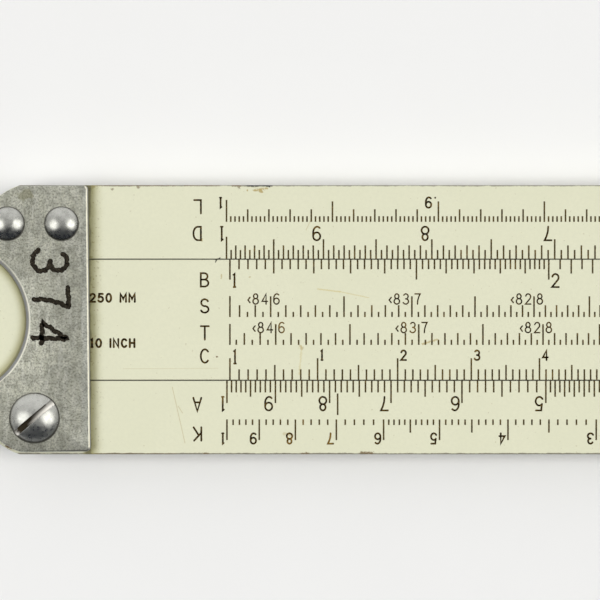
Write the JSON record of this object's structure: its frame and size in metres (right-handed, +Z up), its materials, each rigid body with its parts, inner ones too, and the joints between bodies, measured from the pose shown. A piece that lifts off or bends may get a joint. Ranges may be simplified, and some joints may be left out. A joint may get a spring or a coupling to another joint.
{
  "type": "slide rule",
  "caption": "Straight metal slide rule with a pale yellow-green face, engraved scales, riveted end brackets with thumb notches, a sliding centre strip and a clear cursor.",
  "frame": {"origin": "under the middle of the scales, on the plane that the rivet tails and screw posts rest on", "axes": "+X along the scales towards the right-hand end, +Y across the rule towards the riveted stator, +Z up out of the face"},
  "size_m": [0.3092, 0.041, 0.0074],
  "materials": {
    "yellow_enamel": "satin baked enamel on aluminium, printed scales, light wear at the edges",
    "bracket_aluminium": "satin anodised plate, dulled and grained, bright cut edges",
    "rivet_aluminium": "polished domed heads",
    "screw_nickel": "polished nickel plate",
    "window_acrylic": "clear polished acrylic",
    "bar_nylon": "moulded nylon, satin",
    "spring_steel": "blued strip",
    "cursor_screw_steel": "plated small screws"
  },
  "bodies": {
    "body": {"riveted_stator": "yellow_enamel", "front_bracket_left": "bracket_aluminium", "back_bracket_left": "bracket_aluminium", "rivet_left_outer": "rivet_aluminium", "rivet_left_inner": "rivet_aluminium", "tension_screw_left": "screw_nickel", "screw_post_left": "screw_nickel", "front_bracket_right": "bracket_aluminium", "back_bracket_right": "bracket_aluminium", "rivet_right_outer": "rivet_aluminium", "rivet_right_inner": "rivet_aluminium", "tension_screw_right": "screw_nickel", "screw_post_right": "screw_nickel"},
    "adjustable_stator": {"adjustable_stator": "yellow_enamel"},
    "slide": {"slide": "yellow_enamel"},
    "cursor": {"cursor_bar_sprung": "bar_nylon", "cursor_bar_plain": "bar_nylon", "cursor_spring": "spring_steel", "cursor_window_front": "window_acrylic", "cursor_window_back": "window_acrylic", "cursor_screw_front_1": "cursor_screw_steel", "cursor_screw_front_2": "cursor_screw_steel", "cursor_screw_front_3": "cursor_screw_steel", "cursor_screw_front_4": "cursor_screw_steel", "cursor_screw_back_1": "cursor_screw_steel", "cursor_screw_back_2": "cursor_screw_steel", "cursor_screw_back_3": "cursor_screw_steel", "cursor_screw_back_4": "cursor_screw_steel"}
  },
  "joints": [
    {"name": "slide_travel", "type": "slide", "parent": "body", "child": "slide", "axis": [1, 0, 0], "range_m": [-0.25, 0.25]},
    {"name": "cursor_travel", "type": "slide", "parent": "body", "child": "cursor", "axis": [1, 0, 0], "range_m": [-0.1701, 0.0802]},
    {"name": "stator_adjust", "type": "slide", "parent": "body", "child": "adjustable_stator", "axis": [0, 1, 0], "range_m": [-0.0002, 0]}
  ]
}
